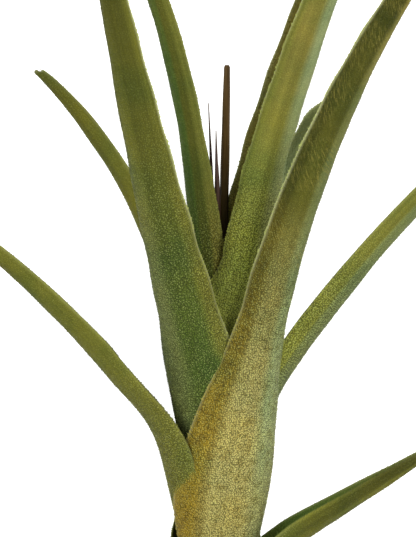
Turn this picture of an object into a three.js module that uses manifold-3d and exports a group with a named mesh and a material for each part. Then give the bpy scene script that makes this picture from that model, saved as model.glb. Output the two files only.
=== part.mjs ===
// A tillandsia purpurea, a soilless air plant, cut and lying on its side.
//
// Millimetres and degrees. The stem runs along +Y, from its cut end to the growing tip, and +Z is up,
// away from the surface that the plant lies on. A leaf's azimuth is its bearing round the stem: 0 points
// up, 90 points to +X, 180 points down and -90 points to -X. Its lean is the angle that it makes with
// the stem. The origin is the middle of the plant's box, on the surface.
import * as THREE from 'three';
import { mergeVertices } from 'three/addons/utils/BufferGeometryUtils.js';
import Module from 'manifold-3d';

const wasm = await Module();
wasm.setup();

// The stem: an even woody shoot that thins out among the innermost leaves.
const STEM_RADIUS = 3.2;
const STEM_TAPER_START = 72;
const STEM_TOP = 104;
const STEM_TOP_RADIUS = 0.9;
const STEM_AXIS_HEIGHT = 29.5;
const SCAR_SPACING = 5;
const SCAR_DEPTH = 0.35;
const STEM_SIDES = 20;

// Every leaf clasps the stem, or the leaf inside it, with this air between them. Its base stands off a
// little more, because its flat facets cut the corner of the round stem.
const SEAT_GAP = 0.3;
const FACET_SLACK = 0.1;

// Thickness of a leaf: in its clasping sheath, along the blade's midrib, at the tip and at the margins.
const SHEATH_THICKNESS = 0.8;
const MIDRIB_THICKNESS = 1.7;
const TIP_THICKNESS = 0.8;
const MARGIN_THICKNESS = 0.65;

// A blade is a channel: the half angle of its arc where it leaves the sheath, and at the tip, which it
// nears late along the blade. It is never rounder than its own thickness allows. A leaf that rolls up
// further does so over the length of the curl span.
const CHANNEL_ANGLE = 75;
const TIP_CHANNEL_ANGLE = 105;
const LATE_CHANGE = 1.5;
const TIP_HALF_WIDTH = 0.25;
const TIGHTEST_CHANNEL = 0.75;
const CLOSEST_WRAP = 150;
const CURL_SPAN = 13;

// How a sheath grows, as shares of its length: its base starts at half the blade's width, has widened
// and clasps fully further up, turns outward near its end and then gives up its clasp.
const BASE_WIDTH_SHARE = 0.5;
const BASE_WIDENED = 0.6;
const CLASP_FULL = 0.8;
const TURN_STARTS = 0.9;
const CLASP_ENDS = 0.95;

// How finely a leaf is divided: short steps along its curve, stations that carry an outline, and points
// across each face of it.
const CURVE_STEPS = 240;
const SHEATH_STATIONS = 5;
const SHEATH_STATIONS_END = 0.85;
const NECK_STATIONS = 6;
const BLADE_STATIONS = 9;
const POINTS_ACROSS = 9;

// A leaf that comes down to the surface eases into lying along it within this height of it, and is
// pressed flat there by this much.
const SETTLE_HEIGHT = 2.5;
const PRESS_DEPTH = 0.2;

const OLIVE = { color: 0x6f7a33, roughness: 0.85 };
const YELLOW_GREEN = { color: 0x8c9440, roughness: 0.85 };
const DARK_GREEN = { color: 0x4d6340, roughness: 0.85 };
const GOLDEN = { color: 0x9a8a4a, roughness: 0.88 };
const DRY = { color: 0x8a7250, roughness: 0.92 };
const BARK = { color: 0x6a5138, roughness: 0.95 };
const SPIKE_BROWN = { color: 0x3d2618, roughness: 0.8 };
const NEEDLE_PURPLE = { color: 0x4a2c33, roughness: 0.8 };

// The leaves, from the lowest and outermost to the highest and innermost.
// height: where it joins the stem. length: along its curve. sheath: how much of that clasps the stem.
// sheathLean, neckLean and tipLean: its lean in the sheath, just above it and at the tip; bend is how
// early the blade takes up the change. neck: the length in which it turns out of the bundle.
// halfWidth: half the blade's width, flattened, which shrinks to the tip by the power taper.
// clasp: what the sheath adds to that, given up over the length shoulder, or over rightShoulder on
// the side of larger azimuth. settle: a height of its own in which a leaf eases onto the surface.
// channel: a half angle of its own for its arc. curl: how much further its side of larger azimuth rolls
// on beneath it, from the first to the second distance of rolled, and flare: how fast that part opens
// outward, as a share of the arc's radius in each radian.
const LEAVES = [
  {
    name: 'leaf_01_dry_right', height: 14, azimuth: 62, length: 72, colour: DRY,
    sheath: 10, sheathLean: 20, neckLean: 84, tipLean: 150, bend: 1.1, neck: 24,
    halfWidth: 4.6, taper: 0.9, clasp: 4.5, shoulder: 14,
  },
  {
    name: 'leaf_02_dry_left', height: 18, azimuth: -76, length: 82, colour: DRY,
    sheath: 10, sheathLean: 18, neckLean: 80, tipLean: 132, bend: 1.2, neck: 24,
    halfWidth: 5.0, taper: 0.9, clasp: 4.5, shoulder: 14,
  },
  {
    name: 'leaf_03_under_right', height: 22, azimuth: 147, length: 92, colour: OLIVE,
    sheath: 11, sheathLean: 16, neckLean: 74, tipLean: 94, bend: 1.0, neck: 24,
    halfWidth: 5.2, taper: 0.85, clasp: 4.5, shoulder: 15, settle: 12,
  },
  {
    name: 'leaf_04_front_low', height: 26, azimuth: 10, length: 98, colour: OLIVE,
    sheath: 11, sheathLean: 15, neckLean: 76, tipLean: 126, bend: 1.1, neck: 26,
    halfWidth: 5.6, taper: 0.85, clasp: 5, shoulder: 16,
  },
  {
    name: 'leaf_05_under_left', height: 31, azimuth: -128, length: 106, colour: OLIVE,
    sheath: 12, sheathLean: 15, neckLean: 72, tipLean: 84, bend: 1.0, neck: 26,
    halfWidth: 5.4, taper: 0.85, clasp: 5, shoulder: 16, settle: 12,
  },
  {
    name: 'leaf_06_right_low', height: 45, azimuth: 96, length: 67, colour: DARK_GREEN,
    sheath: 14, sheathLean: 15, neckLean: 60, tipLean: 56, bend: 1.0, neck: 22,
    halfWidth: 9.0, taper: 0.73, clasp: 5.5, shoulder: 16,
  },
  {
    name: 'leaf_07_front_left_low', height: 41, azimuth: -43, length: 110, colour: OLIVE,
    sheath: 10, sheathLean: 15, neckLean: 84, tipLean: 116, bend: 1.1, neck: 28,
    halfWidth: 6.0, taper: 0.85, clasp: 6, shoulder: 16,
  },
  {
    name: 'leaf_08_under_left_long', height: 48, azimuth: -172, length: 118, colour: YELLOW_GREEN,
    sheath: 24, sheathLean: 15, neckLean: 19, tipLean: 22, bend: 1.0, neck: 14,
    halfWidth: 4.6, taper: 0.7, clasp: 8, shoulder: 16,
  },
  {
    name: 'leaf_09_front_long', height: 55, azimuth: 40, length: 178, colour: GOLDEN,
    sheath: 26, sheathLean: 12.3, neckLean: 0, tipLean: 56, bend: 0.77, neck: 15.3,
    halfWidth: 9.1, taper: 0.76, clasp: 8.6, shoulder: 39, rightShoulder: 32.7,
    channel: 80,
  },
  {
    name: 'leaf_10_left', height: 59, azimuth: -87, length: 120, colour: OLIVE,
    sheath: 32, sheathLean: 13.2, neckLean: 40, tipLean: 71.5, bend: 2.12, neck: 15,
    halfWidth: 7.4, taper: 0.8, clasp: 3.6, shoulder: 23,
  },
  {
    name: 'leaf_11_right', height: 68, azimuth: 84, length: 150, colour: YELLOW_GREEN,
    sheath: 26, sheathLean: 11.5, neckLean: 33.6, tipLean: 60.2, bend: 1.27, neck: 20.4,
    halfWidth: 7.8, taper: 0.74, clasp: 4.4, shoulder: 23.6,
  },
  {
    name: 'leaf_12_front_left_broad', height: 73, azimuth: -30, length: 165, colour: DARK_GREEN,
    sheath: 26, sheathLean: 10.5, neckLean: 25.6, tipLean: 15, bend: 1.47, neck: 13.5,
    halfWidth: 10.1, taper: 1.07, clasp: 11.6, shoulder: 20, rightShoulder: 13.8,
  },
  {
    name: 'leaf_13_left_narrow', height: 78, azimuth: -86, length: 95.6, colour: OLIVE,
    sheath: 26, sheathLean: 10, neckLean: 0, tipLean: 44.5, bend: 0.82, neck: 6,
    halfWidth: 5.8, taper: 0.41, clasp: 7, shoulder: 22,
  },
  {
    name: 'leaf_14_back_right', height: 80, azimuth: 148, length: 118, colour: OLIVE,
    sheath: 34, sheathLean: 6.5, neckLean: 24, tipLean: 34, bend: 1.0, neck: 14,
    halfWidth: 4.2, taper: 0.8, clasp: 3, shoulder: 18,
  },
  {
    name: 'leaf_15_upper_right_broad', height: 85, azimuth: 57, length: 170, colour: YELLOW_GREEN,
    sheath: 26, sheathLean: 9, neckLean: 2.5, tipLean: 35.2, bend: 0.62, neck: 9.8,
    halfWidth: 8.7, taper: 0.6, clasp: 8.9, shoulder: 19.2,
    channel: 95, curl: 70, flare: 0.22, rolled: [42, 400],
  },
  {
    name: 'leaf_16_inner_left', height: 92, azimuth: -60, length: 128, colour: DARK_GREEN,
    sheath: 26, sheathLean: 5, neckLean: 0, tipLean: 37.2, bend: 1.2, neck: 6,
    halfWidth: 4.85, taper: 0.4, clasp: 2.3, shoulder: 38.5,
  },
];

// The heart of the plant: two young leaves still rolled into needles, and the dry flower spike. Each is
// bowed to the right by its bow, halfway up. A needle keeps its radius up to the length of its point
// from its tip.
const YOUNG_LEAVES = [
  { name: 'young_leaf_1', base: [-1.75, 99.5, 0], tip: [-1.9, 159.4, 0], bow: 0.8, radius: 0.5, point: 24 },
  { name: 'young_leaf_2', base: [0, 100.5, 1.8], tip: [-0.4, 153.8, 2.4], bow: 0.2, radius: 0.65, point: 15 },
];
const YOUNG_TIP_RADIUS = 0.3;
const YOUNG_SIDES = 8;
const SPIKE_TIP = [1.8, 167, 0];
const SPIKE_BOW = 0.2;
const SPIKE_PROFILE = [[1.05, 0], [0.9, 41], [0.75, 51], [0.65, 62]];
const SPIKE_SIDES = 10;
const ROD_STEP = 8;

const STEM_DIRECTION = new THREE.Vector3(0, 1, 0);

const radians = THREE.MathUtils.degToRad;
const clamp = THREE.MathUtils.clamp;
const mix = THREE.MathUtils.lerp;

// 0 at and below 0, 1 at and above 1, and smooth between.
function ease(value) {
  return THREE.MathUtils.smoothstep(value, 0, 1);
}

function stemRadius(height) {
  const taper = clamp((height - STEM_TAPER_START) / (STEM_TOP - STEM_TAPER_START), 0, 1);
  return mix(STEM_RADIUS, STEM_TOP_RADIUS, taper);
}

// The direction from the stem's axis at a leaf's azimuth.
function outward(azimuth) {
  return new THREE.Vector3(Math.sin(radians(azimuth)), 0, Math.cos(radians(azimuth)));
}

// Lifts a height that would be under the surface so that the leaf eases into lying on it.
function restOnSurface(height, lowest, settle) {
  const above = clamp(height - lowest, -settle, settle);
  const eased = (above + settle) ** 2 / (4 * settle);
  return Math.max(height, lowest + eased);
}

// The share of the blade that lies below a distance from the leaf's base: 0 in the sheath, 1 at the tip.
function bladeShare(leaf, distance) {
  return clamp((distance - leaf.sheath) / (leaf.length - leaf.sheath), 0, 1);
}

function leanAt(leaf, distance) {
  const turn = ease((distance - TURN_STARTS * leaf.sheath) / leaf.neck);
  const bladeTurn = (leaf.tipLean - leaf.neckLean) * bladeShare(leaf, distance) ** leaf.bend;
  return mix(leaf.sheathLean, leaf.neckLean, turn) + bladeTurn;
}

// The midrib as evenly spaced points from the leaf's base to its tip.
function midrib(leaf) {
  const side = outward(leaf.azimuth);
  const step = leaf.length / CURVE_STEPS;
  const start = stemRadius(leaf.height) + SEAT_GAP + SHEATH_THICKNESS / 2 + FACET_SLACK;
  const point = side.clone().multiplyScalar(start).setY(leaf.height);
  const points = [];
  for (let i = 0; i <= CURVE_STEPS; i += 1) {
    points.push(point.clone());
    const lean = radians(leanAt(leaf, (i + 0.5) * step));
    point.addScaledVector(side, Math.sin(lean) * step);
    point.y += Math.cos(lean) * step;
  }
  points.forEach((p, i) => {
    const pressed = midThickness(leaf, i * step) / 2 - PRESS_DEPTH;
    p.z = restOnSurface(p.z, pressed - STEM_AXIS_HEIGHT, leaf.settle ?? SETTLE_HEIGHT);
  });
  return points;
}

function bladeHalfWidth(leaf, distance) {
  return leaf.halfWidth * (1 - bladeShare(leaf, distance)) ** leaf.taper + TIP_HALF_WIDTH;
}

// Half of the leaf's flattened width, on its left or its right side.
function halfWidth(leaf, distance, shoulder) {
  const widening = mix(BASE_WIDTH_SHARE, 1, ease(distance / (BASE_WIDENED * leaf.sheath)));
  const claspGrows = ease(distance / (CLASP_FULL * leaf.sheath));
  const claspEnds = 1 - ease((distance - CLASP_ENDS * leaf.sheath) / shoulder);
  return bladeHalfWidth(leaf, distance) * widening + leaf.clasp * claspGrows * claspEnds;
}

// 0 where the leaf's arc is centred on the stem, as a sheath, and 1 where it is a free channel.
function freedom(leaf, distance) {
  const start = CLASP_FULL * leaf.sheath;
  return ease((distance - start) / (leaf.sheath + leaf.shoulder - start));
}

function midThickness(leaf, distance) {
  const blade = mix(MIDRIB_THICKNESS, TIP_THICKNESS, bladeShare(leaf, distance) ** LATE_CHANGE);
  return mix(SHEATH_THICKNESS, blade, freedom(leaf, distance));
}

// How far the leaf's right side rolls on beneath it: 0 to 1, within the part that is rolled.
function curled(leaf, distance) {
  const [starts, ends] = leaf.rolled ?? [0, 0];
  return ease((distance - starts) / CURL_SPAN) * (1 - ease((distance - ends) / CURL_SPAN));
}

// One outline across the leaf: along its outer face and back along its inner face.
function outline(leaf, points, index, allowance) {
  const distance = (index / CURVE_STEPS) * leaf.length;
  const point = points[index];
  const before = points[Math.max(index - 1, 0)];
  const after = points[Math.min(index + 1, CURVE_STEPS)];
  const along = after.clone().sub(before).normalize();
  const free = freedom(leaf, distance);
  const normal = STEM_DIRECTION.clone().lerp(along, free).normalize();
  const across = STEM_DIRECTION.clone().cross(outward(leaf.azimuth));
  across.addScaledVector(normal, -across.dot(normal)).normalize();
  const out = across.clone().cross(normal);

  const fromAxis = Math.hypot(point.x, point.z);
  const late = bladeShare(leaf, distance) ** LATE_CHANGE;
  const angle = radians(mix(leaf.channel ?? CHANNEL_ANGLE, TIP_CHANNEL_ANGLE, late));
  const thick = midThickness(leaf, distance);
  const channelRadius = Math.max(bladeHalfWidth(leaf, distance) / angle, thick * TIGHTEST_CHANNEL);
  const radius = mix(fromAxis, channelRadius, free);
  const shoulders = [leaf.shoulder, leaf.rightShoulder ?? leaf.shoulder];
  const reaches = shoulders.map((shoulder) => {
    const wrap = halfWidth(leaf, distance, shoulder) / radius;
    return Math.min(wrap, radians(CLOSEST_WRAP));
  });
  const plainReach = reaches[1];
  reaches[1] += radians(leaf.curl ?? 0) * curled(leaf, distance);
  const centre = point.clone().addScaledVector(out, -radius);

  const ring = [];
  for (const face of [1, -1]) {
    for (let i = 0; i < POINTS_ACROSS; i += 1) {
      const v = face * (-1 + (2 * i) / (POINTS_ACROSS - 1));
      const thickness = mix(MARGIN_THICKNESS, thick, 1 - v * v) + 2 * allowance;
      const turn = v * (reaches[v > 0 ? 1 : 0] + allowance / radius);
      const rolledOn = Math.max(turn - plainReach - allowance / radius, 0);
      const arm = radius * (1 + (leaf.flare ?? 0) * rolledOn) + (face * thickness) / 2;
      const corner = centre.clone();
      corner.addScaledVector(out, arm * Math.cos(turn));
      corner.addScaledVector(across, arm * Math.sin(turn));
      ring.push(corner);
    }
  }
  return ring;
}

// The places along a leaf that carry an outline, closer together where it turns and changes width.
function stations(leaf) {
  const neckStart = SHEATH_STATIONS_END * leaf.sheath;
  const neckEnd = leaf.sheath + leaf.shoulder;
  const places = [];
  for (let i = 0; i < SHEATH_STATIONS; i += 1) {
    places.push((neckStart * i) / SHEATH_STATIONS);
  }
  for (let i = 0; i < NECK_STATIONS; i += 1) {
    places.push(mix(neckStart, neckEnd, i / NECK_STATIONS));
  }
  for (let i = 0; i <= BLADE_STATIONS; i += 1) {
    places.push(mix(neckEnd, leaf.length, i / BLADE_STATIONS));
  }
  return places.map((place) => Math.round((place / leaf.length) * CURVE_STEPS));
}

function solid(vertices, triangles) {
  const mesh = new wasm.Mesh({
    numProp: 3,
    vertProperties: new Float32Array(vertices),
    triVerts: new Uint32Array(triangles),
  });
  return new wasm.Manifold(mesh);
}

// A leaf as a closed solid. An allowance makes it that much fatter all round, to cut clearance with.
function leafSolid(leaf, allowance = 0) {
  const points = midrib(leaf);
  const rings = stations(leaf).map((index) => outline(leaf, points, index, allowance));
  const count = 2 * POINTS_ACROSS;
  const vertices = rings.flat().flatMap((p) => [p.x, p.y, p.z]);
  const triangles = [];
  for (let k = 0; k + 1 < rings.length; k += 1) {
    for (let i = 0; i < count; i += 1) {
      const a = k * count + i;
      const b = k * count + ((i + 1) % count);
      triangles.push(a, b, b + count, a, b + count, a + count);
    }
  }
  const last = (rings.length - 1) * count;
  for (let i = 0; i + 1 < POINTS_ACROSS; i += 1) {
    const far = count - 1 - i;
    triangles.push(i + 1, i, far, i + 1, far, far - 1);
    triangles.push(last + i, last + i + 1, last + far - 1, last + i, last + far - 1, last + far);
  }
  return solid(vertices, triangles);
}

function solidFromGeometry(geometry) {
  const bare = geometry.clone();
  bare.deleteAttribute('normal');
  bare.deleteAttribute('uv');
  const merged = mergeVertices(bare);
  return solid(merged.attributes.position.array, merged.index.array);
}

function largestPiece(body) {
  const pieces = body.decompose();
  return pieces.reduce((best, piece) => (piece.volume() > best.volume() ? piece : best));
}

function geometryFromSolid(body) {
  const mesh = body.getMesh();
  const geometry = new THREE.BufferGeometry();
  geometry.setAttribute('position', new THREE.BufferAttribute(mesh.vertProperties, 3));
  geometry.setIndex(new THREE.BufferAttribute(mesh.triVerts, 1));
  geometry.computeVertexNormals();
  return geometry;
}

function addMesh(group, name, geometry, look) {
  const material = new THREE.MeshStandardMaterial({ ...look, metalness: 0 });
  const mesh = new THREE.Mesh(geometry, material);
  mesh.name = name;
  group.add(mesh);
  return mesh;
}

// Everything under the surface that the plant lies on, as a block.
function underSurface() {
  const depth = 40;
  const block = new THREE.BoxGeometry(500, 600, depth);
  block.translate(0, 100, -STEM_AXIS_HEIGHT - depth / 2);
  return solidFromGeometry(block);
}

// The leaves from the outside in. Each one gives way to those outside it, and lies flat where it
// meets the surface.
function addLeaves(group) {
  const surface = underSurface();
  const outside = [];
  for (const leaf of LEAVES) {
    let body = leafSolid(leaf).subtract(surface);
    for (const other of outside) {
      body = body.subtract(other);
    }
    addMesh(group, leaf.name, geometryFromSolid(largestPiece(body)), leaf.colour);
    outside.push(leafSolid(leaf, SEAT_GAP));
  }
}

// The stem, with a low ring at each old leaf scar below the leaves.
function addStem(group) {
  const profile = [new THREE.Vector2(0, 0), new THREE.Vector2(STEM_RADIUS, 0)];
  for (let scar = SCAR_SPACING; scar < LEAVES[0].height; scar += SCAR_SPACING) {
    profile.push(new THREE.Vector2(STEM_RADIUS, scar - 1));
    profile.push(new THREE.Vector2(STEM_RADIUS - SCAR_DEPTH, scar));
    profile.push(new THREE.Vector2(STEM_RADIUS, scar + 1));
  }
  profile.push(new THREE.Vector2(STEM_RADIUS, STEM_TAPER_START));
  profile.push(new THREE.Vector2(STEM_TOP_RADIUS, STEM_TOP));
  profile.push(new THREE.Vector2(0, STEM_TOP));
  addMesh(group, 'stem', new THREE.LatheGeometry(profile, STEM_SIDES), BARK);
}

// The corners of a profile, with more of them between those that are far apart.
function divided(profile) {
  const corners = [];
  profile.forEach(([radius, height], i) => {
    const [radiusBefore, heightBefore] = profile[Math.max(i - 1, 0)];
    const parts = Math.max(Math.ceil((height - heightBefore) / ROD_STEP), 1);
    for (let part = 1; part <= parts; part += 1) {
      const share = part / parts;
      corners.push(new THREE.Vector2(mix(radiusBefore, radius, share), mix(heightBefore, height, share)));
    }
  });
  return corners;
}

// A round piece that stands from one point to another and is bowed to the right: its profile is a list
// of radius and height.
function addUpright(group, name, { base, tip, bow }, profile, sides, look) {
  const from = new THREE.Vector3(...base);
  const direction = new THREE.Vector3(...tip).sub(from);
  const height = direction.length();
  const geometry = new THREE.LatheGeometry(divided(profile), sides);
  const places = geometry.attributes.position;
  for (let i = 0; i < places.count; i += 1) {
    places.setX(i, places.getX(i) + bow * Math.sin((Math.PI * places.getY(i)) / height));
  }
  geometry.computeVertexNormals();
  const mesh = addMesh(group, name, geometry, look);
  mesh.quaternion.setFromUnitVectors(STEM_DIRECTION, direction.normalize());
  mesh.position.copy(from);
}

function addHeart(group) {
  for (const young of YOUNG_LEAVES) {
    const height = new THREE.Vector3(...young.base).distanceTo(new THREE.Vector3(...young.tip));
    const profile = [[0, 0], [young.radius, 0], [young.radius, height - young.point]];
    profile.push([YOUNG_TIP_RADIUS, height], [0, height]);
    addUpright(group, young.name, young, profile, YOUNG_SIDES, NEEDLE_PURPLE);
  }
  const spike = { base: [0, STEM_TOP + SEAT_GAP, 0], tip: SPIKE_TIP, bow: SPIKE_BOW };
  const spikeHeight = new THREE.Vector3(...spike.base).distanceTo(new THREE.Vector3(...spike.tip));
  const [topRadius] = SPIKE_PROFILE.at(-1);
  const spikeProfile = [[0, 0], ...SPIKE_PROFILE, [topRadius * 0.6, spikeHeight], [0, spikeHeight]];
  addUpright(group, 'dry_spike', spike, spikeProfile, SPIKE_SIDES, SPIKE_BROWN);
}

const plant = new THREE.Group();
addStem(plant);
addLeaves(plant);
addHeart(plant);

const box = new THREE.Box3().setFromObject(plant);
const middle = box.getCenter(new THREE.Vector3());
plant.position.set(-middle.x, -middle.y, STEM_AXIS_HEIGHT);

export default plant;
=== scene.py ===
"""A cut air plant, tillandsia purpurea, lying on a pale floor and seen from straight above.

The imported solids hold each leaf's place and main form. This script grows every leaf again from the same
sizes, as a fine mesh with thin, slightly waved margins and a coat of silvery scales, and gives every
piece a procedural material.

Sizes are millimetres in the plant's own frame: the stem starts at its cut end on the origin and runs
along +Y, and +Z is up. A leaf's azimuth is its bearing round the stem: 0 points up, 90 points to +X, 180
points down and -90 points to -X. Its lean is the angle that it makes with the stem.
"""

import math

import bpy
import numpy as np
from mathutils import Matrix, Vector


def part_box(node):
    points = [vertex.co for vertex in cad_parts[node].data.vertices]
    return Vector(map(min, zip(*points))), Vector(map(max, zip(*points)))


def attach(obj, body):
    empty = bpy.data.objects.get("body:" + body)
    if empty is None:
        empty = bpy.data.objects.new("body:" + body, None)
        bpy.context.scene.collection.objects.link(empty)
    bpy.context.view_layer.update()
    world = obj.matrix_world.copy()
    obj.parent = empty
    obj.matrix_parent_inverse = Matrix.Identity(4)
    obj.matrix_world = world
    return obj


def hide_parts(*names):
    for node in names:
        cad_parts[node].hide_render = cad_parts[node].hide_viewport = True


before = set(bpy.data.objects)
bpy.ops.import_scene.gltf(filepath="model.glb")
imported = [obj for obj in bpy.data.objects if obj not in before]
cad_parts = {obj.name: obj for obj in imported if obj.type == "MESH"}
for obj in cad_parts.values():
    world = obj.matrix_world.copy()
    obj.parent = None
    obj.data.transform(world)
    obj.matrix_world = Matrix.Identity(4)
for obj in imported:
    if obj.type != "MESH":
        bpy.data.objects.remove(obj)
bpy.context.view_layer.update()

MM = 0.001

# The stem's axis and cut end give the place of the plant's own frame.
stem_low, stem_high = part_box("stem")
PLANT_ORIGIN = np.array([(stem_low.x + stem_high.x) / 2, stem_low.y, (stem_low.z + stem_high.z) / 2])
AXIS_HEIGHT = PLANT_ORIGIN[2] / MM

# The stem: an even woody shoot that thins out among the innermost leaves.
STEM_RADIUS = 3.2
STEM_TAPER_START = 72.0
STEM_TOP = 104.0
STEM_TOP_RADIUS = 0.9
SCAR_SPACING = 5.0
SEAT_GAP = 0.3
FACET_SLACK = 0.1

# A leaf's thickness, the half angle of its channel and how its sheath grows, as in the solids. Only the
# margins are thinner here, as on the real leaf.
SHEATH_THICKNESS = 0.8
MIDRIB_THICKNESS = 1.7
TIP_THICKNESS = 0.8
MARGIN_THICKNESS = 0.32
CHANNEL_ANGLE = 75.0
TIP_CHANNEL_ANGLE = 105.0
LATE_CHANGE = 1.5
TIP_HALF_WIDTH = 0.25
TIGHTEST_CHANNEL = 0.75
CLOSEST_WRAP = 150.0
BASE_WIDTH_SHARE = 0.5
BASE_WIDENED = 0.6
CLASP_FULL = 0.8
TURN_STARTS = 0.9
CLASP_ENDS = 0.95
SETTLE_HEIGHT = 2.5
PRESS_DEPTH = 0.2
CURVE_STEPS = 240
CURL_SPANS = (13.0, 13.0)

# The place on the map of the faces that close an end.
MAP_CORNER = 0.003

# The fine mesh of a leaf, and the slow swells and waves that real leaves have.
STATION_SPACING = 1.1
POINTS_ACROSS = 27
TIP_RINGS = 4
SWELL = 0.10
MARGIN_WAVE = 0.22
WAVE_LENGTH = 13.0

# The scales that coat a leaf: tiny silvery flakes that point to the tip and stand a little off the skin.
# They sit in staggered lines, each of them off its place by up to a share of the spacing.
SCALE_SPACING_OUTSIDE = 0.40
SCALE_SPACING_INSIDE = 0.46
SCALE_JITTER = 0.38
SCALE_LENGTH = (0.30, 0.46)
SCALE_WIDTH = (0.20, 0.30)
SCALE_TILT = (6.0, 26.0)
SCALE_SPREAD = 30.0
MARGIN_HAIRS_PER_MM = 5.0
HAIR_LENGTH = (0.35, 0.6)
HAIR_TURN = (25, 80)
HAIR_PLACE = (0.97, 1.0)
SCALE_CLEARANCE = 0.02

# A scale's corners: how far ahead and aside, in its lengths and widths, how far sunk in millimetres and
# what share of its lift it rises.
SCALE_CORNERS = [
    (-0.4, 0.0, -0.02, 0.0),
    (0.05, 0.5, 0.0, 0.35),
    (0.6, 0.0, 0.0, 1.0),
    (0.05, -0.5, 0.0, 0.35),
]
HIDDEN_FREEDOM = 0.3

# A leaf's pale rim, and the settings of leaves that have none of their own.
RIM_WIDTH = 0.4
RIM_WIDENS = 0.5
COMMON_RIMS = (0.3, 0.3)
RIMS_START = (0.2, 0.38)
RIM_AT_BASE = 0.55
COMMON_BAND = (0.0, 0.5)
BAND_HOLDS = 0.35
COMMON_CLUMPS = 0.45
LAST_TIP_TURN = 80.0

# How a leaf's colours are broken up. Scales of the patterns are per metre, or along and across a leaf.
BLOTCH_SCALE = 95.0
FINE_SCALE = 1500.0
GRAIN_SCALE = 3400.0
GROUND_DEPTH = 0.14
PIT_DEPTH = 0.66
STREAK_STRETCH = (3.0, 9.0, 3.0)
BLOTCHES = [(0.3, (210, 224, 218)), (0.5, (244, 245, 238)), (0.72, (255, 250, 226))]
STREAKS = [(0.35, (232, 232, 230)), (0.65, (255, 255, 252))]
CLUMP_SCALE = 620.0
CLUMP_GAIN = 1.26
CLUMPS = [(0.38, (196, 190, 172)), (0.5, (236, 234, 226)), (0.62, (255, 255, 250))]
GRAIN_FADES = (0.2, 0.5)
GRAIN_AT_TIP = 0.15
SKIN_GAINS = (0.85, 0.86)
SCALE_GAINS = (1.3, 1.04)
SCALE_SILVER_GAIN = 0.9
RIM_GAIN = 0.85
COMB_STARTS = (0.36, 0.44)
COMB_SLANT = 1.0
COMB_STRETCH = 0.12
COMB_SCALE = 2.6
COMB_PATCH_SCALE = 110.0
COMB_LINES = (0.46, 0.7)
COMB_PATCHES = (0.36, 0.58)
PIT_EDGES = (0.25, 0.75)
PIT_RELIEF = 1.5
PIT_COLOUR = (0.02, 0.024, 0.006, 1.0)
RIM_ON_SKIN = 0.9
RIM_ON_SCALES = 0.8
MOST_SILVER = 0.26


def along(*shades):
    """Colour stops for the shades, evenly spaced from a piece's foot to its tip."""
    last = len(shades) - 1
    return [(place / last, shade) for place, shade in enumerate(shades)]


# The shades of the living leaves and of their hairs, margins and scales, as the eye sees them, in 0 to
# 255 steps.
HAIR_COLOUR = (140, 130, 60)
PALE_MARGIN = (190, 190, 140)
SILVER = (190, 200, 120)
GOLD = (180, 150, 40)
OLD_GOLD = (140, 120, 40)
SAND = (170, 160, 100)
STRAW = (140, 130, 60)
LIME = (200, 200, 100)
FRESH_GREEN = (150, 160, 70)
LEAF_GREEN = (120, 120, 50)
SILVER_GREEN = (120, 130, 80)
PALE_GREEN = (160, 170, 120)
OLIVE_GREEN = (110, 110, 40)
MOSS = (90, 90, 30)
FOREST = (80, 100, 40)
SHADOW_GREEN = (70, 70, 20)

# A leaf has one row of shades for its left part, one for its middle, one for its right part and one for
# its inner face.
OLIVE = {
    "left": along(OLIVE_GREEN, OLIVE_GREEN, MOSS),
    "middle": along(OLIVE_GREEN, OLIVE_GREEN, MOSS),
    "right": along(LEAF_GREEN, OLIVE_GREEN, MOSS),
    "inside": along(OLIVE_GREEN, MOSS, MOSS),
}
# Its yellower left and middle rows and its greyer right row are partly the leaf's own colour and partly
# painted light and painted shade on its two sides.
YELLOW_GREEN = {
    "left": along(FRESH_GREEN, LEAF_GREEN, OLIVE_GREEN),
    "middle": along(FRESH_GREEN, LEAF_GREEN, OLIVE_GREEN),
    "right": along(SILVER_GREEN, SILVER_GREEN, OLIVE_GREEN),
    "inside": along(LEAF_GREEN, MOSS, OLIVE_GREEN),
}
# Its middle and right rows start very pale at the foot: painted light that lifts the shade the leaves
# around its base cast there.
FRESH = {
    "left": along(FRESH_GREEN, LEAF_GREEN, LEAF_GREEN),
    "middle": along(LIME, FRESH_GREEN, STRAW, STRAW, LEAF_GREEN),
    "right": along(LIME, PALE_GREEN, LEAF_GREEN),
    "inside": along(OLIVE_GREEN, STRAW, OLIVE_GREEN),
}
DARK_GREEN = {
    "left": along(SILVER_GREEN, SILVER_GREEN, OLIVE_GREEN, SHADOW_GREEN, SHADOW_GREEN),
    "middle": along(FOREST, FOREST, MOSS, SHADOW_GREEN, SHADOW_GREEN),
    "right": along(LEAF_GREEN, LEAF_GREEN, OLIVE_GREEN, OLIVE_GREEN, MOSS),
    "inside": along(MOSS, FOREST, MOSS),
}
# Its dark left row and paler right row are partly the leaf's own deep green and partly painted shade on its
# left side and painted light on its right.
DEEP_GREEN = {
    "left": along(FOREST, FOREST, MOSS),
    "middle": along(FOREST, MOSS, MOSS),
    "right": along(STRAW, LEAF_GREEN, MOSS),
    "inside": along(MOSS, FOREST, MOSS),
}
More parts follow.
